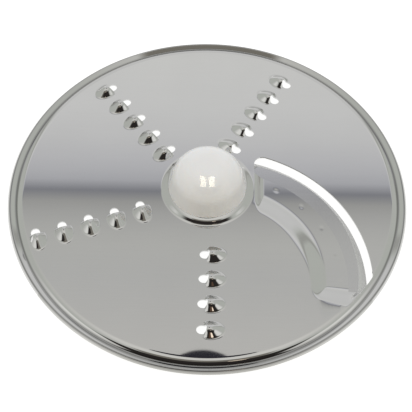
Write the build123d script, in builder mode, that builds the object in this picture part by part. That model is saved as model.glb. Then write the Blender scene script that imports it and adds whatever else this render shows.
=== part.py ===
from build123d import *
import os
from math import acos, atan2, cos, degrees, hypot, radians, sin, sqrt, tan

# Food processor disc with a grating face and a slicing blade, in millimetres.
# The turning axis is Z. The disc stands on the foot of its hub, at Z = 0, with the grating face up.

# Pressed steel plate
disc_radius = 88.0
sheet = 0.8
plate_height = 7.0

# Rim of the plate, from the outside in: a turned down edge, a crest and a groove
edge_drop = 1.6
edge_run = 1.1
groove_outer_run = 2.4
groove_inner_run = 2.5
groove_depth = 1.5
rim_bend = 1.4
edge_bend = 0.7

# Raised collar round the hole of the plate, which the hub grips
collar_height = 1.6
collar_land = 5.2
collar_run = 2.2
collar_bend = 1.2

# Crescent recess and slot: every outline is an arc about one centre
arc_centre = (5.5, -43.5)
slot_rim_margin = 12.4
slot_gap = 2.2
slot_corner = 4.0
pad_width = 10.0
recess_depth = 2.6
recess_wall_run = 7.0
recess_corner = 9.0
pad_corner = 2.0
end_wall_angle = 7.9
collar_gap = 0.2
hub_wall_run = 3.9
rim_margin = 0.3
rim_lap = 0.4

# Slicing blade, welded under the floor of the recess
blade_thickness = 0.7
blade_reach = 7.9
blade_lap = 8.0
blade_tuck = 2.1
blade_end_gap = 0.3
blade_hub_tuck = 1.4
bevel_narrow = 0.94
bevel_shift = 6.0
bevel_shift_angle = 50.0
edge_land = 0.08

# Spot welds
weld_count = 5
weld_inset = 3.2
weld_rim_margin = 4.2
weld_hub_margin = 6.8
weld_mark_radius = 1.5
weld_mark_depth = 0.15

# Grating teeth: a dome with a round hole at its clockwise end
tooth_length = 12.3
tooth_width = 8.4
tooth_height = 2.7
tooth_hole_radius = 2.3
tooth_hole_offset = 3.6
tooth_pitch = 11.6
tooth_collar_gap = 0.05
# Rows: angle, and distance of the outermost hole from the edge of the flat
row_angles = [58.5, 129.0, 198.9, 268.8]
row_margins = [10.9, 8.6, 4.6, 12.7]

# Hub, one white moulding through the hole of the plate
hub_height = 16.8
hub_margin = 1.1
hub_lean = 13.0
hub_rounding = 11.0
foot_grip = 2.5
foot_edge = 0.6
socket_radius = 6.0
socket_depth = 16.0
key_width = 3.0
key_depth = 1.5
socket_wall = 1.8
core_width = 2.1
core_wall = 1.6
core_depth = 13.0
rib_count = 6
rib_thickness = 1.6

# Heights
plate_top = plate_height
plate_under = plate_top - sheet
pad_top = plate_top - recess_depth
pad_under = pad_top - sheet
blade_under = pad_under - blade_thickness
collar_top = plate_top + collar_height
collar_under = collar_top - sheet
hub_top = plate_top + hub_height
through = 2 * hub_top

# Radii about the turning axis
crest_radius = disc_radius - edge_run
groove_radius = crest_radius - groove_outer_run
flat_radius = groove_radius - groove_inner_run
core_inner_radius = socket_radius + key_depth + socket_wall
core_outer_radius = core_inner_radius + core_width
plate_hole_radius = core_outer_radius + core_wall
collar_top_radius = plate_hole_radius + collar_land
collar_foot_radius = collar_top_radius + collar_run
hub_base_radius = collar_top_radius - hub_margin
hub_foot_radius = plate_hole_radius + foot_grip

# Radii about the centre of the arcs
slot_outer_radius = flat_radius - slot_rim_margin - arc_centre[0]
blade_edge_radius = slot_outer_radius - slot_gap
pad_front_radius = blade_edge_radius - blade_reach
pad_back_radius = pad_front_radius - pad_width
recess_inner_radius = pad_back_radius - recess_wall_run
blade_back_radius = pad_front_radius - blade_lap
weld_radius = pad_front_radius - weld_inset

# Straight ends of the recess, its floor and the blade, beside the hub
recess_hub_x = collar_foot_radius + collar_gap
pad_hub_x = recess_hub_x + hub_wall_run
blade_hub_x = recess_hub_x - blade_hub_tuck


def arc_point(radius, angle):
    """Point on an arc of the recess, in the plane of the disc."""
    x = arc_centre[0] + radius * cos(radians(angle))
    y = arc_centre[1] + radius * sin(radians(angle))
    return (x, y)


def angle_at_x(radius, x):
    """Angle at which an arc of the recess reaches a given x, on the hub's side."""
    return degrees(atan2(sqrt(radius**2 - (x - arc_centre[0]) ** 2), x - arc_centre[0]))


def angle_at_rim(radius, reach):
    """Angle at which an arc of the recess is a given reach away from the turning axis."""
    offset = hypot(*arc_centre)
    turn = acos((reach**2 - offset**2 - radius**2) / (2 * offset * radius))
    return degrees(atan2(arc_centre[1], arc_centre[0]) + turn)


blade_end_angle = angle_at_rim(blade_edge_radius, flat_radius + blade_tuck)
pad_end_angle = blade_end_angle + blade_end_gap
recess_end_angle = pad_end_angle - end_wall_angle


def crescent(inner, outer, hub_x, end_angle):
    """Closed outline between two arcs, from a straight end by the hub to a radial end by the rim."""
    hub_inner = angle_at_x(inner, hub_x)
    hub_outer = angle_at_x(outer, hub_x)
    CenterArc(arc_centre, inner, end_angle, hub_inner - end_angle)
    Line(arc_point(inner, hub_inner), arc_point(outer, hub_outer))
    CenterArc(arc_centre, outer, end_angle, hub_outer - end_angle)
    Line(arc_point(outer, end_angle), arc_point(inner, end_angle))


def recess_face(height, hub_x, inner, end_angle, corner):
    """Face of the recess at one height, with its rounded corner by the rim."""
    with BuildSketch(Plane.XY.offset(height)) as face:
        with BuildLine():
            crescent(inner, blade_edge_radius, hub_x, end_angle)
        make_face()
        inner_end = arc_point(inner, end_angle)
        corner_vertex = face.vertices().sort_by_distance((*inner_end, height))[0]
        fillet(corner_vertex, radius=corner)
    return face.sketch


def recess_faces(drop):
    """Mouth and floor of the recess, both moved down by drop."""
    mouth = recess_face(
        plate_top - drop, recess_hub_x, recess_inner_radius, recess_end_angle, recess_corner
    )
    floor = recess_face(pad_top - drop, pad_hub_x, pad_back_radius, pad_end_angle, pad_corner)
    return [mouth, floor]


# Space of the recess above its floor
with BuildPart() as recess_space:
    loft(recess_faces(0), ruled=True)
    Cylinder(flat_radius - rim_margin, through, mode=Mode.INTERSECT)

# Sheet under that space: its walls and floor, without what would lie in the slot
with BuildPart() as recess_body:
    loft(recess_faces(sheet), ruled=True)
    Cylinder(flat_radius + rim_lap, through, mode=Mode.INTERSECT)
    with BuildSketch():
        with BuildLine():
            crescent(pad_front_radius, slot_outer_radius, blade_hub_x, pad_end_angle)
        make_face()
    extrude(amount=through, mode=Mode.SUBTRACT)

# Slot in the plate, from the front edge of the recess floor to the far edge of the plate
with BuildPart() as slot_space:
    with BuildSketch() as slot_face:
        with BuildLine():
            crescent(pad_front_radius, slot_outer_radius, recess_hub_x, pad_end_angle)
        make_face()
        slot_end = arc_point(slot_outer_radius, angle_at_x(slot_outer_radius, recess_hub_x))
        fillet(slot_face.vertices().sort_by_distance((*slot_end, 0))[0], radius=slot_corner)
    extrude(amount=through)
    Cylinder(flat_radius, 2 * through, mode=Mode.INTERSECT)

# Tooth dome: an ellipse turned about the tooth's length, which lies along local Y.
# Its middle is sunk below the plate, so that the cap above the plate has the wanted width.
cross_radius = ((tooth_width / 2) ** 2 + tooth_height**2) / (2 * tooth_height)
dome_sink = cross_radius - tooth_height
dome_half_length = tooth_length / 2 / sqrt(1 - (dome_sink / cross_radius) ** 2)
dome_axis = Axis((0, 0, -dome_sink), (0, 1, 0))


def dome_face(shrink):
    """Upper half of the ellipse that is turned into a dome, smaller than the outer one by shrink."""
    half_length = dome_half_length - shrink
    with BuildSketch(Plane.YZ) as face:
        with BuildLine():
            EllipticalCenterArc(
                (tooth_hole_offset, -dome_sink),
                half_length,
                cross_radius - shrink,
                start_angle=0,
                arc_size=180,
            )
            Line(
                (tooth_hole_offset - half_length, -dome_sink),
                (tooth_hole_offset + half_length, -dome_sink),
            )
        make_face()
    return face.sketch


with BuildPart() as dome_outer:
    revolve(dome_face(0), axis=dome_axis)
    split(bisect_by=Plane.XY.offset(-sheet / 2), keep=Keep.TOP)

with BuildPart() as dome_inner:
    revolve(dome_face(sheet), axis=dome_axis)


def tooth_place(angle, radius):
    """Place of a tooth's hole on its radial row, with the dome counterclockwise of it."""
    x = radius * cos(radians(angle))
    y = radius * sin(radians(angle))
    return Location((x, y, plate_top), (0, 0, angle))


def row_count(margin):
    """Number of teeth that a row holds between its outermost tooth and the collar."""
    innermost = collar_foot_radius + tooth_collar_gap + tooth_width / 2
    return int((flat_radius - margin - innermost) / tooth_pitch) + 1


tooth_places = [
    tooth_place(angle, flat_radius - margin - n * tooth_pitch)
    for angle, margin in zip(row_angles, row_margins)
    for n in range(row_count(margin))
]

# Weld marks: shallow dimples in the floor of the recess, spread evenly along one arc
weld_first = pad_end_angle + degrees(weld_rim_margin / weld_radius)
weld_last = angle_at_x(weld_radius, pad_hub_x) - degrees(weld_hub_margin / weld_radius)
weld_step = (weld_last - weld_first) / (weld_count - 1)
weld_ball_radius = (weld_mark_radius**2 + weld_mark_depth**2) / (2 * weld_mark_depth)
weld_ball_height = pad_top - weld_mark_depth + weld_ball_radius
weld_places = [
    Location((*arc_point(weld_radius, weld_first + n * weld_step), weld_ball_height))
    for n in range(weld_count)
]

# The plate, one sheet: collar, flat, groove, crest and edge in one turned profile
with BuildPart() as disc_plate:
    with BuildSketch(Plane.XZ):
        with BuildLine():
            FilletPolyline(
                (plate_hole_radius, collar_top),
                (collar_top_radius, collar_top),
                (collar_foot_radius, plate_top),
                (flat_radius, plate_top),
                (groove_radius, plate_top - groove_depth),
                (crest_radius, plate_top),
                (disc_radius, plate_top - edge_drop),
                radius=[collar_bend, collar_bend, rim_bend, rim_bend, edge_bend],
            )
            offset(amount=sheet, side=Side.RIGHT)
        make_face()
    revolve(axis=Axis.Z)
    add(recess_body.part)
    add(recess_space.part, mode=Mode.SUBTRACT)
    add(slot_space.part, mode=Mode.SUBTRACT)
    with Locations(*tooth_places):
        add(dome_outer.part)
    with Locations(*tooth_places):
        add(dome_inner.part, mode=Mode.SUBTRACT)
        Cylinder(tooth_hole_radius, through, mode=Mode.SUBTRACT)
    with Locations(*weld_places):
        Sphere(weld_ball_radius, mode=Mode.SUBTRACT)

# Upper side of the blade: ground down to the edge, from a smaller circle set off the arcs' centre
bevel_centre = (
    arc_centre[0] + bevel_shift * cos(radians(bevel_shift_angle)),
    arc_centre[1] + bevel_shift * sin(radians(bevel_shift_angle)),
)
with BuildPart() as bevel_form:
    with BuildSketch(Plane.XY.offset(blade_under + edge_land)):
        with Locations(arc_centre):
            Circle(blade_edge_radius)
    with BuildSketch(Plane.XY.offset(pad_under)):
        with Locations(bevel_centre):
            Circle(blade_edge_radius - bevel_shift - bevel_narrow)
    loft(ruled=True)
    with BuildSketch(Plane.XY.offset(blade_under)):
        with Locations(arc_centre):
            Circle(blade_edge_radius)
    extrude(amount=edge_land)

# Blade: a flat crescent under the floor of the recess, reaching out into the slot
with BuildPart() as slicing_blade:
    with BuildSketch(Plane.XY.offset(blade_under)):
        with BuildLine():
            crescent(blade_back_radius, blade_edge_radius, blade_hub_x, blade_end_angle)
        make_face()
    extrude(amount=blade_thickness)
    add(bevel_form.part, mode=Mode.INTERSECT)

# Hub: dome on the collar, neck in the hole of the plate, foot below, blind drive socket
with BuildPart() as drive_hub:
    with BuildSketch(Plane.XZ):
        with BuildLine():
            FilletPolyline(
                (0, hub_top),
                (hub_base_radius - (hub_top - collar_top) * tan(radians(hub_lean)), hub_top),
                (hub_base_radius, collar_top),
                radius=hub_rounding,
            )
            Polyline(
                (hub_base_radius, collar_top),
                (plate_hole_radius, collar_top),
                (plate_hole_radius, collar_under),
                (hub_foot_radius, collar_under),
                (hub_foot_radius, 0),
                (0, 0),
                (0, hub_top),
            )
        make_face()
    revolve(axis=Axis.Z)
    foot_edges = drive_hub.edges().filter_by(GeomType.CIRCLE).group_by(Axis.Z)[0]
    chamfer(foot_edges, length=foot_edge)
    with BuildSketch():
        Circle(socket_radius)
        Rectangle(2 * (socket_radius + key_depth), key_width)
    extrude(amount=socket_depth, mode=Mode.SUBTRACT)
    with BuildSketch():
        Circle(core_outer_radius)
        Circle(core_inner_radius, mode=Mode.SUBTRACT)
        with PolarLocations(0, rib_count):
            Rectangle(
                core_outer_radius,
                rib_thickness,
                align=(Align.MIN, Align.CENTER),
                mode=Mode.SUBTRACT,
            )
    extrude(amount=core_depth, mode=Mode.SUBTRACT)

disc_plate.part.label = "disc_plate"
slicing_blade.part.label = "slicing_blade"
drive_hub.part.label = "drive_hub"

os.makedirs("parts", exist_ok=True)
export_step(disc_plate.part, "parts/disc_plate.step")
export_step(slicing_blade.part, "parts/slicing_blade.step")
export_step(drive_hub.part, "parts/drive_hub.step")
for piece in (disc_plate, slicing_blade, drive_hub):
    print(piece.part.label, len(piece.part.solids()), round(piece.part.volume, 1))
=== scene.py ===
# %% [markdown]
# The object is a food processor disc: one pressed sheet of bright steel with grating teeth, a sunk
# crescent with a slicing blade beside a slot, and a white hub in the middle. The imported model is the
# frame. Everything here is drawn in the same place and to the same size as its solids.

# %% Load the frame
from math import acos, atan2, copysign, cos, degrees, hypot, pi, radians, sin, sqrt

import bmesh
import bpy
from mathutils import Matrix, Vector


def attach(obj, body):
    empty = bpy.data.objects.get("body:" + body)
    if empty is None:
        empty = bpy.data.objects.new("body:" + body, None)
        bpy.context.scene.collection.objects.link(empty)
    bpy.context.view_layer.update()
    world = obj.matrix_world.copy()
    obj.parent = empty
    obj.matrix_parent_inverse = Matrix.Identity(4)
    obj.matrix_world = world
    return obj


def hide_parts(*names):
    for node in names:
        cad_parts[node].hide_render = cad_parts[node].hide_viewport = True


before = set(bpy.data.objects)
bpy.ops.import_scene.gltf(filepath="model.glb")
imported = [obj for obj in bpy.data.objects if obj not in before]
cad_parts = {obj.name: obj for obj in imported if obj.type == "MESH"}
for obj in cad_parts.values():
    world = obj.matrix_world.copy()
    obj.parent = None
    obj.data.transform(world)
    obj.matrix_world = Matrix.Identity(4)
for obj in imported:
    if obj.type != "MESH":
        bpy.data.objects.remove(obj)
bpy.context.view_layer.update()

# %% [markdown]
# The plate's mesh is drawn in millimetres and brought to metres at the end. The sizes below are the
# part's own, apart from two. The sheet is 0.05 mm thinner, so that its underside and the top of the
# blade don't lie in one plane, and the outer radius is as much less, which keeps the mesh inside the
# box of the solids.

# %% Sizes in millimetres
MM = 0.001
plate_top = 7.0
sheet = 0.75
disc_radius = 88.0
outer_radius = disc_radius - 0.05
arc_centre = (5.5, -43.5)

# %% [markdown]
# Shader maths reads best as ordinary sums. A value wraps one socket, and adding or multiplying two
# values adds the Math node that does it.


# %% Shader maths
class Value:
    """One output socket that can be used in sums."""

    def __init__(self, shader, socket):
        self.shader = shader
        self.socket = socket

    def maths(self, operation, *others):
        return self.shader.node("ShaderNodeMath", {"operation": operation}, self, *others)

    def __add__(self, other):
        return self.maths("ADD", other)

    def __radd__(self, other):
        return self.maths("ADD", other)

    def __sub__(self, other):
        return self.maths("SUBTRACT", other)

    def __rsub__(self, other):
        return self.shader.node("ShaderNodeMath", {"operation": "SUBTRACT"}, other, self)

    def __mul__(self, other):
        return self.maths("MULTIPLY", other)

    def __rmul__(self, other):
        return self.maths("MULTIPLY", other)

    def __truediv__(self, other):
        return self.maths("DIVIDE", other)

    def between(self, low, high):
        """0 below low and 1 above high, smoothly; turned round where low is above high."""
        settings = {"interpolation_type": "SMOOTHSTEP"}
        if low > high:
            return self.shader.node("ShaderNodeMapRange", settings, self, high, low, 1.0, 0.0)
        return self.shader.node("ShaderNodeMapRange", settings, self, low, high, 0.0, 1.0)


class Shader:
    """A node tree with one method that adds nodes."""

    def __init__(self, tree):
        self.tree = tree
        tree.nodes.clear()

    def node(self, kind, settings=None, *inputs, out=0, **named):
        made = self.tree.nodes.new(kind)
        for key, value in (settings or {}).items():
            if key == "stops":
                self.set_stops(made.color_ramp, value)
            else:
                setattr(made, key, value)
        for key, value in list(enumerate(inputs)) + list(named.items()):
            if isinstance(key, str):
                key = key.replace("_", " ")
            self.feed(made.inputs[key], value)
        return Value(self, made.outputs[out]) if made.outputs else made

    def feed(self, socket, value):
        if isinstance(value, Value):
            self.tree.links.new(value.socket, socket)
        else:
            socket.default_value = value

    def set_stops(self, ramp, stops):
        while len(ramp.elements) > 1:
            ramp.elements.remove(ramp.elements[-1])
        for index, (place, colour) in enumerate(stops):
            element = ramp.elements[0] if index == 0 else ramp.elements.new(place)
            element.position = place
            element.color = (*colour, 1.0)

    def mix(self, mask, first, second):
        """Colour that goes from first to second as mask goes from 0 to 1."""
        made = self.tree.nodes.new("ShaderNodeMix")
        made.data_type = "RGBA"
        for name, value in (("Factor_Float", mask), ("A_Color", first), ("B_Color", second)):
            socket = next(s for s in made.inputs if s.identifier == name)
            self.feed(socket, value)
        return Value(self, next(s for s in made.outputs if s.identifier == "Result_Color"))


def new_material(name):
    """Empty material and its shader tree."""
    material = bpy.data.materials.new(name)
    material.use_nodes = True
    return material, Shader(material.node_tree)


def finish_material(shader, surface):
    shader.node("ShaderNodeOutputMaterial", None, Surface=surface)


# %% [markdown]
# Polished steel shows its surroundings more than itself, so the room matters as much as the metal. The
# room here is a light tent: a white sheet behind the disc, a pale roof with a dark seam, greenish
# sides, bright panels low in front, the dark shape of the camera and its stand, and a small dark spot
# overhead, which shows in the front of the rim. It is drawn in the world by direction, because
# real sheets and panels round the disc would throw their own shadows and cost far more time for the
# same mirror image. Away is the way that the camera looks.

# %% The room
world = bpy.data.worlds.new("light_tent")
world.use_nodes = True
bpy.context.scene.world = world
room = Shader(world.node_tree)
# In a world's shader the generated coordinate is the direction that is looked in
direction = room.node("ShaderNodeTexCoord")
split = room.node("ShaderNodeSeparateXYZ", None, direction)
split_node = split.socket.node
side = Value(room, split_node.outputs[0])
away = Value(room, split_node.outputs[1])
up = Value(room, split_node.outputs[2])
to_degrees = 180 / pi
# Three angles in degrees: turn goes up the back, over the disc and down to the camera, sway goes round
# from the middle of the back to either side, and rise is the height over the table
turn = up.maths("ARCTAN2", away) * to_degrees
aside = side.maths("ABSOLUTE")
sway = aside.maths("ARCTAN2", away) * to_degrees
rise = up.maths("ARCSINE") * to_degrees

# The tent's back and roof by turn: 0 is the horizon behind the disc, 90 is overhead, 180 is the horizon
# on the camera's side
roof_tones = [
    (0.0, (0.84, 0.84, 0.83)),
    (17.0, (0.8, 0.8, 0.8)),
    (33.0, (0.78, 0.78, 0.78)),
    (45.0, (0.8, 0.8, 0.79)),
    (47.0, (0.87, 0.87, 0.86)),
    (50.0, (0.85, 0.85, 0.85)),
    (52.0, (0.79, 0.79, 0.8)),
    (53.6, (0.7, 0.7, 0.73)),
    (54.6, (0.62, 0.625, 0.66)),
    (55.2, (0.52, 0.525, 0.565)),
    (55.5, (0.3, 0.305, 0.34)),
    (55.7, (0.3, 0.305, 0.33)),
    (56.0, (0.45, 0.45, 0.44)),
    (57.2, (0.57, 0.57, 0.56)),
    (58.8, (0.65, 0.65, 0.63)),
    (61.0, (0.65, 0.65, 0.64)),
    (66.0, (0.71, 0.7, 0.68)),
    (80.0, (0.8, 0.79, 0.76)),
    (100.0, (0.84, 0.82, 0.77)),
    (180.0, (0.75, 0.74, 0.7)),
]
# The tent's sides by height in degrees
side_tones = [
    (0.0, (0.5, 0.5, 0.48)),
    (9.0, (0.6, 0.61, 0.58)),
    (20.0, (0.62, 0.64, 0.6)),
    (52.0, (0.62, 0.635, 0.6)),
    (62.0, (0.7, 0.7, 0.67)),
    (74.0, (0.86, 0.85, 0.82)),
    (90.0, (0.88, 0.87, 0.83)),
]
# The low panels in front, by degrees away from the middle of the back
panel_tones = [
    (80.0, (0.6, 0.61, 0.58)),
    (93.0, (0.76, 0.76, 0.74)),
    (106.0, (1.0, 1.0, 0.97)),
    (128.0, (1.0, 0.99, 0.96)),
    (150.0, (0.84, 0.83, 0.79)),
    (180.0, (0.75, 0.74, 0.7)),
]


def tone_ramp(tones, angle, full):
    """Colour that follows an angle through a list of (degrees, colour)."""
    stops = [(degree / full, tone) for degree, tone in tones]
    return room.node("ShaderNodeValToRGB", {"stops": stops}, angle / full)


soft_edge = (1.15, 0.8)
sharp_edge = (1.02, 0.985)


def blot(half_width, middle, half_height, offset=None, edge=soft_edge):
    """1 inside an oval in the room, its half width a share and the others degrees above the table."""
    across = (aside if offset is None else side - offset) / half_width
    along = (rise - middle) / half_height
    return (across * across + along * along).between(*edge)


toward_camera = sway.between(85.0, 95.0)
toward_back = sway.between(95.0, 85.0)
tent_sides = sway.between(28.0, 34.5)
low_panels = sway.between(80.0, 90.0) * rise.between(46.0, 40.0)
seam = sway.between(31.5, 35.0) * sway.between(38.5, 35.5) * rise.between(50.0, 40.0)
column = blot(half_width=0.34, middle=62.0, half_height=14.0)
stand = blot(half_width=0.6, middle=44.0, half_height=16.0)
warm_wall = blot(half_width=0.16, middle=32.5, half_height=4.5, offset=0.12) * 0.8
high_spot = blot(half_width=0.055, middle=58.3, half_height=1.7, offset=0.18)
low_spot = blot(half_width=0.08, middle=33.0, half_height=2.5, offset=0.2)
warm_spots = high_spot.maths("MAXIMUM", low_spot)
overhead_spot = blot(half_width=0.09, middle=73.0, half_height=7.3, offset=0.0, edge=sharp_edge)
tent = tone_ramp(roof_tones, turn, 180)
for mask, tone in (
    (tent_sides, tone_ramp(side_tones, rise, 90)),
    (low_panels, tone_ramp(panel_tones, sway, 180)),
    (seam, (0.47, 0.475, 0.45, 1.0)),
    (column * toward_camera, (0.25, 0.235, 0.205, 1.0)),
    (stand * toward_camera, (0.032, 0.028, 0.026, 1.0)),
    (warm_wall * toward_camera, (0.15, 0.09, 0.06, 1.0)),
    (warm_spots * toward_camera, (1.5, 1.25, 1.0, 1.0)),
    (overhead_spot * toward_back, (0.035, 0.035, 0.045, 1.0)),
):
    tent = room.mix(mask, tent, tone)

# %% [markdown]
# What is mirrored, what lights a matt surface and what the camera sees behind the object can differ.
# Mirrors get the tent above. Matt surfaces get its plain soft light, a little warmer and dimmer from
# the camera's side. The camera sees white.

# %% Light of the room
paths = room.node("ShaderNodeLightPath").socket.node
seen = Value(room, paths.outputs["Is Camera Ray"])
mirrored = Value(room, paths.outputs["Is Glossy Ray"])
white = (1.0, 1.0, 1.0, 1.0)
soft_back = (0.93, 0.935, 0.95, 1.0)
soft_front = (0.62, 0.58, 0.5, 1.0)
soft_light = room.mix(turn.between(80.0, 150.0), soft_back, soft_front)
light = room.mix(mirrored, soft_light, tent)
light = room.node("ShaderNodeBackground", None, Color=light, Strength=1.0)
plain = room.node("ShaderNodeBackground", None, Color=white, Strength=1.0)
sky = room.node("ShaderNodeMixShader", None, seen, light, plain)
room.node("ShaderNodeOutputWorld", None, Surface=sky)

scene = bpy.context.scene
scene.view_settings.view_transform = "Standard"

# %% [markdown]
# Two long warm lamps hang over the disc. In the picture they show as two bars in the gloss of the hub,
# and nowhere else, so these lamps are linked to the hub and give it gloss alone. Each lamp also goes
# out for light that has been thrown back more than twice.


# %% Lamps over the hub
lamp_height = 0.789
lamp_middle = 0.083
lamp_length = 0.88
lamp_width = 0.13
lamp_tilt = 41.0
lamp_radiance = 8.0
lamp_colour = (1.0, 0.93, 0.72, 1.0)
longest_path = 2.5
hub_only = bpy.data.collections.new("hub_only")
hub_only.objects.link(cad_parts["drive_hub"])
for name, lamp_side in (("left_lamp", -0.095), ("right_lamp", 0.1)):
    lamp_data = bpy.data.lights.new(name, "AREA")
    lamp_data.shape = "RECTANGLE"
    lamp_data.size = lamp_width
    lamp_data.size_y = lamp_length
    lamp_data.energy = lamp_radiance * pi * lamp_width * lamp_length
    lamp_data.use_nodes = True
    lamp_shader = Shader(lamp_data.node_tree)
    lamp_paths = lamp_shader.node("ShaderNodeLightPath").socket.node
    lit = Value(lamp_shader, lamp_paths.outputs["Ray Depth"]).maths("LESS_THAN", longest_path)
    beam = lamp_shader.node("ShaderNodeEmission", None, Color=lamp_colour, Strength=lit)
    lamp_shader.node("ShaderNodeOutputLight", None, Surface=beam)
    lamp = bpy.data.objects.new(name, lamp_data)
    lamp.location = (lamp_side, lamp_middle, lamp_height)
    lamp.rotation_euler = (radians(lamp_tilt), 0.0, 0.0)
    lamp.visible_diffuse = False
    lamp.light_linking.receiver_collection = hub_only
    scene.collection.objects.link(lamp)

# %% [markdown]
# The camera stands in front of the disc and looks down at it. Its place comes from the ellipse of the
# rim in the picture.

# %% Camera
camera_offset = Vector((0.0, 0.0, plate_top))
camera_place = Vector((-0.0056, -2.5421, 3.6634)) * disc_radius + camera_offset
look_right = Vector((0.99984, 0.01484, 0.00984))
look_up = Vector((-0.0178, 0.83327, 0.55261))
look_ahead = Vector((0.0, 0.5527, -0.8334))
focal_pixels = 885.0
picture_pixels = 412.0
camera_data = bpy.data.cameras.new("camera")
camera_data.sensor_width = 36.0
camera_data.lens = camera_data.sensor_width * focal_pixels / picture_pixels
camera_data.clip_start = 0.01
camera = bpy.data.objects.new("camera", camera_data)
scene.collection.objects.link(camera)
turned = Matrix((look_right, look_up, -look_ahead)).transposed().to_4x4()
camera.matrix_world = Matrix.Translation(camera_place * MM) @ turned
scene.camera = camera

# %% [markdown]
# The disc stands on a white table. The table looks white to the camera and to the steel, and still
# keeps a soft shadow.

# %% Table
table_reach = 3.0
floor_mesh = bpy.data.meshes.new("table")
floor_bm = bmesh.new()
bmesh.ops.create_grid(floor_bm, x_segments=2, y_segments=2, size=table_reach)
floor_bm.to_mesh(floor_mesh)
floor_bm.free()
table = bpy.data.objects.new("table", floor_mesh)
scene.collection.objects.link(table)
table_paint, paint = new_material("table_paint")
rays = paint.node("ShaderNodeLightPath").socket.node
to_camera = Value(paint, rays.outputs["Is Camera Ray"])
to_gloss = Value(paint, rays.outputs["Is Glossy Ray"])
shine = to_camera.maths("MAXIMUM", to_gloss)
matt = paint.node("ShaderNodeBsdfDiffuse", None, Color=(0.35, 0.35, 0.345, 1.0))
glow = paint.node("ShaderNodeEmission", None, Color=(1.0, 1.0, 0.995, 1.0), Strength=0.85)
bright_table = paint.node("ShaderNodeAddShader", None, matt, glow)
plain_table = paint.node("ShaderNodeBsdfDiffuse", None, Color=(0.8, 0.8, 0.79, 1.0))
finish_material(paint, paint.node("ShaderNodeMixShader", None, shine, plain_table, bright_table))
floor_mesh.materials.append(table_paint)

# %% [markdown]
# The steel was rolled, pressed and polished. Close up it keeps a faint long grain from rolling, a few
# clouds from polishing, and very shallow waves that bend what it mirrors.

# %% Steel finishes
cloud_scale = 38.0
grain_stretch = (60.0, 2600.0, 60.0)
wave_scale = 55.0
scratch_scale = 420.0
strip_border = 0.0002


def steel(name, colour, gloss, grain, wave, strip=None, shade_rings=()):
    """Polished sheet: clouds in its gloss, a fine grain, shallow waves, a ground strip, and rings of
    painted shade round the axis.
    """
    material, shader = new_material(name)
    spot = Value(shader, shader.node("ShaderNodeTexCoord").socket.node.outputs["Object"])
    clouds = shader.node("ShaderNodeTexNoise", None, Vector=spot, Scale=cloud_scale, Detail=3.0)
    stretched = shader.node("ShaderNodeMapping", None, Vector=spot, Scale=grain_stretch)
    lines = shader.node("ShaderNodeTexNoise", None, Vector=stretched, Scale=1.0, Detail=2.0)
    waves = shader.node("ShaderNodeTexNoise", None, Vector=spot, Scale=wave_scale, Detail=1.0)
    parts = shader.node("ShaderNodeSeparateXYZ", None, spot).socket.node
    across, back = Value(shader, parts.outputs[0]), Value(shader, parts.outputs[1])
    tone = (clouds - 0.5) * 0.05 + (lines - 0.5) * 0.03 + 1.0
    rough = ((clouds - 0.5) * 0.5 + (lines - 0.5) * 0.4 + 1.0) * gloss
    from_axis = (across * across + back * back).maths("SQRT")
    # Each ring darkens the tone: painted shade in the corners of the rim's gutter
    for shade_ring_radius, shade_ring_width, shade_ring_strength in shade_rings:
        off = (from_axis - shade_ring_radius).maths("ABSOLUTE")
        tone = tone * (1.0 - off.between(shade_ring_width, 0.0) * shade_ring_strength)
    if strip:
        middle_x, middle_y, reach = strip
        east, north = across - middle_x, back - middle_y
        ground = (east * east + north * north).maths("SQRT").between(reach - strip_border, reach)
        swing = north.maths("ARCTAN2", east) * scratch_scale
        scratches = shader.node("ShaderNodeTexNoise", {"noise_dimensions": "1D"}, W=swing)
        rough = rough + ground * ((scratches - 0.5) * 0.5 + 0.3)
        tone = tone * (ground * ((scratches - 0.5) * 0.7 + 0.2) + 1.0)
    tint = shader.node("ShaderNodeVectorMath", {"operation": "SCALE"}, tuple(colour), Scale=tone)
    bumps = waves * wave + lines * grain
    bump = shader.node("ShaderNodeBump", None, Strength=0.2, Distance=0.0001, Height=bumps)
    surface = shader.node(
        "ShaderNodeBsdfPrincipled",
        None,
        Base_Color=tint,
        Metallic=1.0,
        Roughness=rough,
        Normal=bump,
    )
    finish_material(shader, surface)
    return material


# Radius, width and strength of the two rings of painted shade along the rim, where the tight corners of the
# rolled gutter look dark, and the middle and inner radius of the strip on the blade that is ground to an
# edge
rim_shade_rings = [(0.0843, 0.0009, 0.5), (0.08695, 0.0008, 0.5)]
plate_finish = steel(
    "polished_plate", (0.62, 0.62, 0.612), 0.02, 0.005, 0.02, shade_rings=rim_shade_rings
)
blade_strip = (0.009357, -0.038904, 0.05496)
blade_finish = steel("ground_blade", (0.60, 0.60, 0.60), 0.1, 0.02, 0.02, blade_strip)

# %% [markdown]
# The hub is a white moulding with a soft gloss. A little light goes into the plastic and comes out
# again, so its shades are gentle.

# %% Hub finish
hub_finish, moulded = new_material("moulded_hub")
hub_place = Value(moulded, moulded.node("ShaderNodeTexCoord").socket.node.outputs["Object"])
hub_white = (0.885, 0.884, 0.872)
hub_cloud = moulded.node("ShaderNodeTexNoise", None, Vector=hub_place, Scale=120.0, Detail=3.0)
hub_fine = moulded.node("ShaderNodeTexNoise", None, Vector=hub_place, Scale=1500.0, Detail=2.0)
hub_tone = (hub_cloud - 0.5) * 0.03 + 1.0
hub_tint = moulded.node("ShaderNodeVectorMath", {"operation": "SCALE"}, hub_white, Scale=hub_tone)
hub_bump = moulded.node("ShaderNodeBump", None, Strength=0.1, Distance=0.00001, Height=hub_fine)
hub_surface = moulded.node(
    "ShaderNodeBsdfPrincipled",
    None,
    Base_Color=hub_tint,
    Roughness=(hub_fine - 0.5) * 0.02 + 0.06,
    Normal=hub_bump,
    Subsurface_Weight=0.25,
    Subsurface_Radius=(0.004, 0.0035, 0.003),
)
finish_material(moulded, hub_surface)
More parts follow.
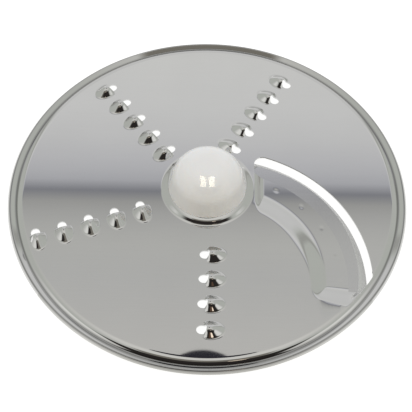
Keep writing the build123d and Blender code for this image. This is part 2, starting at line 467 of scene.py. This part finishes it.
for node, finish in (("drive_hub", hub_finish), ("slicing_blade", blade_finish)):
    node_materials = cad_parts[node].data.materials
    node_materials.clear()
    node_materials.append(finish)

# %% [markdown]
# The plate is one sheet, so it is drawn as one mesh. First its upper face is laid out from patches that
# follow each pressed form: rings for the rim and the collar, an oval for each tooth and a bent grid for
# the sunk crescent. A flat fill joins them. Then the sheet gets its thickness. The forms could also be
# cut and joined as solids, but that leaves long thin faces, and a mirror shows each of them.
#
# The rim is a groove, a crest and a turned down edge, all rolled in the sheet. The collar is the raised
# ring that the hub sits in. Both are round, so each is a profile that is turned about the axis. The corners
# are rounded on the profile, before the turn, which keeps every ring of faces even.

# %% Turned rings
ring_steps = 360
flat_end = 80.95
bend_start = 81.05
bend_radius = 4.38
bend_foot = 82.0
plate_bm = bmesh.new()
border = plate_bm.verts.layers.int.new("border")


def rim_drop(radius):
    """Height of the sheet where the rim starts to bend down."""
    past = max(0.0, radius - bend_start)
    return -(bend_radius - sqrt(bend_radius**2 - past**2))


def bend_points(first, last, count):
    """Points of (radius, height) on the rim's first bend."""
    radii = [first + (last - first) * n / count for n in range(count + 1)]
    return [(r, rim_drop(r)) for r in radii]


def turned_ring(points, rounds=(), start=0, steps=ring_steps):
    """Turns a profile of (radius, height) by steps of one degree. rounds: point, size, segments."""
    known = set(plate_bm.edges)
    chain = [plate_bm.verts.new((r, 0.0, z)) for r, z in points]
    for pair in zip(chain, chain[1:]):
        plate_bm.edges.new(pair)
    for index, size, segments in rounds:
        bmesh.ops.bevel(
            plate_bm,
            geom=[chain[index]],
            offset=size,
            offset_type="OFFSET",
            segments=segments,
            profile=0.5,
            affect="VERTICES",
            material=-1,
        )
    edges = [e for e in plate_bm.edges if e not in known]
    verts = list({v for e in edges for v in e.verts})
    swing = Matrix.Rotation(radians(start), 3, "Z")
    bmesh.ops.rotate(plate_bm, verts=verts, cent=(0, 0, 0), matrix=swing)
    full = steps == ring_steps
    bmesh.ops.spin(
        plate_bm,
        geom=verts + edges,
        cent=(0, 0, 0),
        axis=(0, 0, 1),
        angle=radians(steps),
        steps=steps,
        use_merge=full,
    )
    edges = [e for e in plate_bm.edges if e not in known]
    return {v for e in edges for v in e.verts}


def polar(v):
    """Distance of a vertex from the axis, and its direction in degrees."""
    return hypot(v.co.x, v.co.y), degrees(atan2(v.co.y, v.co.x))


# The slot and the mouth of the crescent run into the rim at two directions, so the flat band inside the
# rim leaves a gap there. Straight stretches have extra points near their ends, which keep them straight
# in the mirror.
near = 0.01
slack = 0.1
slot_turn, mouth_turn = -32, -45
gap_first, gap_last = -48, -31
rim_bend = bend_points(bend_foot, 83.75, 6)
gutter = [(84.45, -1.5), (84.8, -1.277), (86.3, -0.319), (86.8, 0.0), (87.17, -0.434)]
gutter_foot = len(rim_bend)
rim_crest = gutter_foot + 3
rim_points = rim_bend + gutter + [(outer_radius, -1.35)]
for v in turned_ring(rim_points, [(gutter_foot, 0.35, 5), (rim_crest, 0.5, 7)]):
    r, a = polar(v)
    past_slot = slot_turn - slack < a < gap_last + slack
    before_mouth = gap_first - slack < a < mouth_turn + slack
    if r < bend_foot + near and (past_slot or before_mouth):
        v[border] = 1
band_points = [(flat_end, 0.0)] + bend_points(bend_start, bend_foot, 3)
for v in turned_ring(band_points, start=gap_last, steps=ring_steps - (gap_last - gap_first)):
    r, a = polar(v)
    if r < flat_end + near or min(abs(a - gap_last), abs(a - gap_first)) < slack:
        v[border] = 1
collar_top = [(12.9, 1.6), (16.6, 1.6)]
collar_slope = [(17.75, 1.6), (18.75, 0.947), (19.68, 0.34), (20.2, 0.0)]
collar_edge = 20.8
shoulder = len(collar_top)
collar_foot = shoulder + len(collar_slope) - 1
collar_points = collar_top + collar_slope + [(collar_edge, 0.0)]
for v in turned_ring(collar_points, [(shoulder, 1.1, 8), (collar_foot, 0.55, 6)]):
    if polar(v)[0] > collar_edge - near:
        v[border] = 1
print("rings", len(plate_bm.verts), "vertices")

# %% [markdown]
# A grating tooth is punched and drawn in one stroke. Its hole is round, and the metal beside the hole is
# pushed up into a dome. A ball pressed into a grid would give a like shape, but no clean lip at the
# hole. So a ring of edges round the hole is extruded outwards step by step, until it is an oval on the
# flat sheet, and each vertex is lifted onto the dome.

# %% Grating teeth
# Lengths along the cut are counted from the middle of the hole. The dome is steep towards the hole and
# has a long tail behind its crest.
dome_crest = 3.2
cut_run = 2.4
tail_run = 5.9
dome_reach = 3.95
dome_margin = 0.35
dome_top = 2.6
crown_share = 0.5
foot_share = 0.07
hole_radius = 2.1
hole_squash = 0.93
hole_nose, hole_cheek = 0.75, 0.85
tooth_segments = 56
tooth_rings = 18
patch_middle = 3.9
patch_length = 13.4
patch_reach = 4.8
patch_gap = 0.1
support = 0.1
fade = 6


def soft_step(share, softness):
    """share where it is above softness, 0 below minus softness, and a smooth bend in between."""
    if share <= -softness:
        return 0.0
    if share >= softness:
        return share
    return (share + softness) ** 2 / (4 * softness)


def dome_height(u, v, reach):
    """Height of the dome over the flat sheet, u along the cut and v across it, where it is reach wide."""
    if u < dome_crest:
        along = ((dome_crest - u) / cut_run) ** 4
    else:
        along = ((u - dome_crest) / tail_run) ** 2
    out = sqrt(along + (v / reach) ** 2)
    if out < crown_share:
        return dome_top * (1.0 - out**2 / (crown_share * (2 - crown_share)))
    return dome_top * 2 / (2 - crown_share) * soft_step(1.0 - out, foot_share)


def tooth_patch(angle, radius, inner_reach, outer_reach):
    """One tooth with its hole at (radius, angle), on an oval of sheet between collar and rim."""
    dome_inner = min(dome_reach, inner_reach - dome_margin)
    dome_outer = min(dome_reach, outer_reach - dome_margin)
    hole = bmesh.ops.create_circle(
        plate_bm, cap_ends=False, radius=hole_radius, segments=tooth_segments
    )["verts"]
    edges = list({e for v in hole for e in v.link_edges})
    starts = {v: v.co.copy() for v in hole}
    made = list(hole)
    for v in hole:
        turn_angle = atan2(v.co.y, v.co.x)
        if v.co.x > 0:
            v.co.x = hole_radius * cos(turn_angle) ** hole_nose
            v.co.y = hole_radius * copysign(abs(sin(turn_angle)) ** hole_cheek, v.co.y)
        v.co.y *= hole_squash
        v.co.z = dome_height(v.co.x, v.co.y, dome_inner if v.co.y > 0 else dome_outer)
    for ring in range(1, tooth_rings + 1):
        grown = bmesh.ops.extrude_edge_only(plate_bm, edges=edges)["geom"]
        edges = [g for g in grown if isinstance(g, bmesh.types.BMEdge)]
        verts = [g for g in grown if isinstance(g, bmesh.types.BMVert)]
        following = {v: starts[min(starts, key=lambda s: (s.co.xy - v.co.xy).length)] for v in verts}
        share = min(ring / (tooth_rings - 1), 1.0)
        inset = support if ring < tooth_rings else 0.0
        for v, first in following.items():
            turn_angle = atan2(first.y, first.x)
            side_reach = inner_reach if first.y > 0 else outer_reach
            outer = Vector(
                (
                    patch_middle + (patch_length / 2 - inset) * cos(turn_angle),
                    (side_reach - inset) * sin(turn_angle),
                    0.0,
                )
            )
            v.co = first.lerp(outer, share)
            if ring < tooth_rings - 1:
                height = dome_height(v.co.x, v.co.y, dome_inner if first.y > 0 else dome_outer)
                v.co.z = height * min(1.0, fade * (1 - share))
        starts = following
        made += verts
    for v in verts:
        v[border] = 1
    turn_matrix = Matrix.Rotation(radians(angle + 90), 4, "Z")
    shift = Matrix.Translation((radius * cos(radians(angle)), radius * sin(radians(angle)), 0))
    bmesh.ops.transform(plate_bm, verts=made, matrix=shift @ turn_matrix)


tooth_rows = [(58.5, 71.1, 5), (129.0, 73.4, 5), (198.9, 77.4, 5), (268.8, 69.3, 4)]
tooth_pitch = 11.6
for row_angle, outermost, count in tooth_rows:
    for n in range(count):
        hole_place = outermost - n * tooth_pitch
        inner_reach = min(patch_reach, hole_place - collar_edge - patch_gap)
        outer_reach = min(patch_reach, flat_end - patch_gap - hole_place)
        tooth_patch(row_angle, hole_place, inner_reach, outer_reach)
print("with teeth", len(plate_bm.verts), "vertices")

# %% [markdown]
# The crescent is sunk by the thickness of a slice. On the other face it stands up and carries the blade.
# All its outlines are arcs about one centre beside the disc's own. A grid is bent to those arcs, and
# each vertex is lowered by how far it is past the foot of the nearest wall. A carved hollow would have
# sharp bends, and here each bend has its own soft run, as in pressed sheet.

# %% Sunk crescent
recess_depth = 2.6
pad_front = 54.0
pad_back = 44.0
wall_run = 7.0
pad_end = -6.6
wall_narrowing = 2.1
narrow_from, narrow_over = 30.0, 36.0
end_run = 7.8
end_bulge, bulge_middle, bulge_reach = 0.3, 49.0, 5.0
rim_side, shortest_run = 48.0, 0.9
pad_hub = 24.5
hub_run = 3.15
hub_line = 20.9
bend_share = 0.28
rim_foot = 81.2
weld_radius = 50.8
weld_size = 1.2
weld_depth = 0.03
weld_angles = [-1.9 + 15.55 * n for n in range(5)]
centre_reach = hypot(*arc_centre)
centre_turn = degrees(atan2(arc_centre[1], arc_centre[0]))


def arc_place(radius, angle):
    """Point on an arc about the crescent's centre."""
    x = arc_centre[0] + radius * cos(radians(angle))
    y = arc_centre[1] + radius * sin(radians(angle))
    return Vector((x, y, 0.0))


def angle_on_line(radius, x):
    """Angle at which an arc reaches the line beside the hub."""
    return degrees(acos((x - arc_centre[0]) / radius))


def angle_on_rim(radius, reach):
    """Angle at which an arc reaches the circle of the rim."""
    share = (reach**2 - centre_reach**2 - radius**2) / (2 * centre_reach * radius)
    return centre_turn + degrees(acos(share))


def rim_point(turned_by):
    """Point where the flat sheet meets the rim, and its radius and angle on the crescent's arcs."""
    point = Vector((bend_foot * cos(radians(turned_by)), bend_foot * sin(radians(turned_by)), 0.0))
    arm = point - Vector((*arc_centre, 0.0))
    return point, arm.length, degrees(atan2(arm.y, arm.x))


mouth_radius, mouth_angle = rim_point(mouth_turn)[1:]


def even(first, last, count):
    """Places at even steps from first on, without last."""
    return [first + (last - first) * n / count for n in range(count)]


radial_places = (
    [34.9]
    + even(35.0, 38.3, 11)
    + even(38.3, 42.7, 8)
    + even(42.7, 45.4, 9)
    + even(45.4, pad_front, 18)
    + [pad_front, mouth_radius]
    + even(mouth_radius + 0.5, 59.5, 9)
    + [59.5]
)
end_places = [0.0, 0.015] + even(0.05, 1.0, 20)
main_places = even(0.0, 0.9, 100) + even(0.9, 0.997, 22) + [0.997, 1.0]
end_count = len(end_places)
print("arcs at the rim", round(mouth_radius, 3), round(mouth_angle, 3))


def bend_height(past):
    """1 on the floor of a pressed form and 0 at its mouth, with a soft bend at both."""
    if past < -bend_share:
        return 1.0
    if past < bend_share:
        return 1.0 - (past + bend_share) ** 2 / (4 * bend_share)
    if past < 1 - bend_share:
        return 1.0 - past
    if past < 1 + bend_share:
        return (1 + bend_share - past) ** 2 / (4 * bend_share)
    return 0.0


def recess_height(point):
    """Height of the sheet in the crescent."""
    from_arc = point - Vector((*arc_centre, 0.0))
    radius = hypot(from_arc.x, from_arc.y)
    angle = degrees(atan2(from_arc.y, from_arc.x))
    to_rim = end_run + end_bulge * max(0.0, 1 - ((radius - bulge_middle) / bulge_reach) ** 2)
    if radius > rim_side:
        to_rim = min(to_rim, max(shortest_run, pad_end - angle_on_rim(radius, rim_foot)))
    narrow = min(1.0, max(0.0, (narrow_from - angle) / narrow_over))
    walls = [
        (pad_back - radius) / (wall_run - wall_narrowing * narrow**1.5),
        (pad_hub - point.x) / hub_run,
        (pad_end - angle) / to_rim,
    ]
    past = max(walls)
    climbing = [w for w in walls if w > 0]
    if len(climbing) > 1:
        power = 3 if walls[1] > 0 else 2
        past = sum(w**power for w in climbing) ** (1 / power)
    height = -recess_depth * bend_height(past)
    for weld_angle in weld_angles:
        away_from_weld = (point - arc_place(weld_radius, weld_angle)).length
        height -= weld_depth * max(0.0, 1 - (away_from_weld / weld_size) ** 2) ** 2
    return height


columns = end_count + len(main_places) - 1
rows = len(radial_places) - 1
grid = bmesh.ops.create_grid(plate_bm, x_segments=columns, y_segments=rows, size=0.5)["verts"]
print("grid", len(grid), "expected", (columns + 1) * (rows + 1))
spots = {}
for v in grid:
    column = round((v.co.x + 0.5) * columns)
    row = round((v.co.y + 0.5) * rows)
    radius = radial_places[row]
    rim_end = mouth_angle if radius <= mouth_radius + 0.001 else angle_on_rim(radius, bend_foot - 0.02)
    if column < end_count:
        angle = rim_end + (pad_end - rim_end) * end_places[column]
    else:
        share = main_places[column - end_count]
        angle = pad_end + (angle_on_line(radius, hub_line) - pad_end) * share
    spots[v] = (column, row, radius, angle)
    if row == 0 or (radius <= pad_front and column == columns) or (
        column == 0 and radius <= mouth_radius + 0.001
    ):
        v[border] = 1
for v, (column, row, radius, angle) in spots.items():
    point = arc_place(radius, angle)
    point.z = recess_height(point) + rim_drop(min(hypot(point.x, point.y), bend_foot))
    v.co = point
open_front = [
    f
    for f in {f for v in grid for f in v.link_faces}
    if min(spots[v][2] for v in f.verts) >= pad_front - 0.001
    and min(spots[v][0] for v in f.verts) >= end_count - 1
    and max(spots[v][0] for v in f.verts) > end_count
]
bmesh.ops.delete(plate_bm, geom=open_front, context="FACES")
print("crescent", len(grid), "vertices,", len(open_front), "faces cut away")

# %% [markdown]
# The slot lets the slices through. Its far edge is an arc that ends in a small round beside the
# hub. Two spins of a single vertex draw it, which needs no list of points.

# %% Edge of the slot
slot_start, slot_radius, slot_first = rim_point(slot_turn)
round_size = 4.0
round_x = hub_line + round_size
round_reach = slot_radius - round_size
round_y = arc_centre[1] + sqrt(round_reach**2 - (round_x - arc_centre[0]) ** 2)
round_turn = degrees(atan2(round_y - arc_centre[1], round_x - arc_centre[0]))
known = set(plate_bm.verts)
tip = [plate_bm.verts.new(slot_start)]
for middle, swing, steps in (
    (arc_centre, round_turn - slot_first, 90),
    ((round_x, round_y), 180.0 - round_turn, 14),
):
    swept = bmesh.ops.spin(
        plate_bm,
        geom=tip,
        cent=(*middle, 0.0),
        axis=(0, 0, 1),
        angle=radians(swing),
        steps=steps,
    )
    tip = [g for g in swept["geom_last"] if isinstance(g, bmesh.types.BMVert)]
corner_point = arc_place(pad_front, angle_on_line(pad_front, hub_line))
corner = min(plate_bm.verts, key=lambda v: (v.co - corner_point).length)
plate_bm.edges.new((tip[0], corner))
for v in plate_bm.verts:
    if v not in known:
        v[border] = 1
        v.co.z = rim_drop(min(hypot(v.co.x, v.co.y), bend_foot))
print("slot radius", round(slot_radius, 2), "gap at the corner", (corner.co - corner_point).length)

# %% [markdown]
# All patches end in a closed line on the flat. One fill between those lines makes the flat of the
# sheet, and a solidify step then gives the whole sheet its thickness, as rolling did to the steel.

# %% Flat fill and thickness
merge_reach = 0.022
bmesh.ops.remove_doubles(plate_bm, verts=plate_bm.verts[:], dist=merge_reach)
rim_edges = [
    e for e in plate_bm.edges if len(e.link_faces) < 2 and e.verts[0][border] and e.verts[1][border]
]
filled = bmesh.ops.triangle_fill(
    plate_bm, use_beauty=True, use_dissolve=False, edges=rim_edges, normal=(0, 0, 1)
)
flat_faces = [g for g in filled["geom"] if isinstance(g, bmesh.types.BMFace)]
flat_area = sum(f.calc_area() for f in flat_faces)
print(len(rim_edges), "edges,", len(flat_faces), "flat faces of", round(flat_area), "square millimetres")
for f in plate_bm.faces:
    f.normal_update()
    if f.normal.z < 0:
        f.normal_flip()
plate_bm.normal_update()
bmesh.ops.solidify(plate_bm, geom=plate_bm.faces[:], thickness=sheet)
plate_bm.normal_update()
heights = [v.co.z for v in plate_bm.verts]
print("thick sheet from", round(min(heights), 2), "to", round(max(heights), 2))


sharp_angle = 28.0


def finish_piece(name, bm, finish, node):
    """Marks sharp edges, brings a mesh to metres and sets it in the place of a solid."""
    for f in bm.faces:
        f.smooth = True
    for e in bm.edges:
        e.smooth = e.is_manifold and e.calc_face_angle(0.0) < radians(sharp_angle)
    bmesh.ops.scale(bm, vec=(MM, MM, MM), verts=bm.verts)
    mesh = bpy.data.meshes.new(name)
    bm.to_mesh(mesh)
    triangles = sum(len(f.verts) - 2 for f in bm.faces)
    bm.free()
    mesh.materials.append(finish)
    piece = bpy.data.objects.new(name, mesh)
    scene.collection.objects.link(piece)
    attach(piece, "root")
    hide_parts(node)
    print(name, triangles, "triangles")


bmesh.ops.translate(plate_bm, verts=plate_bm.verts, vec=(0, 0, plate_top))
finish_piece("pressed_plate", plate_bm, plate_finish, "disc_plate")
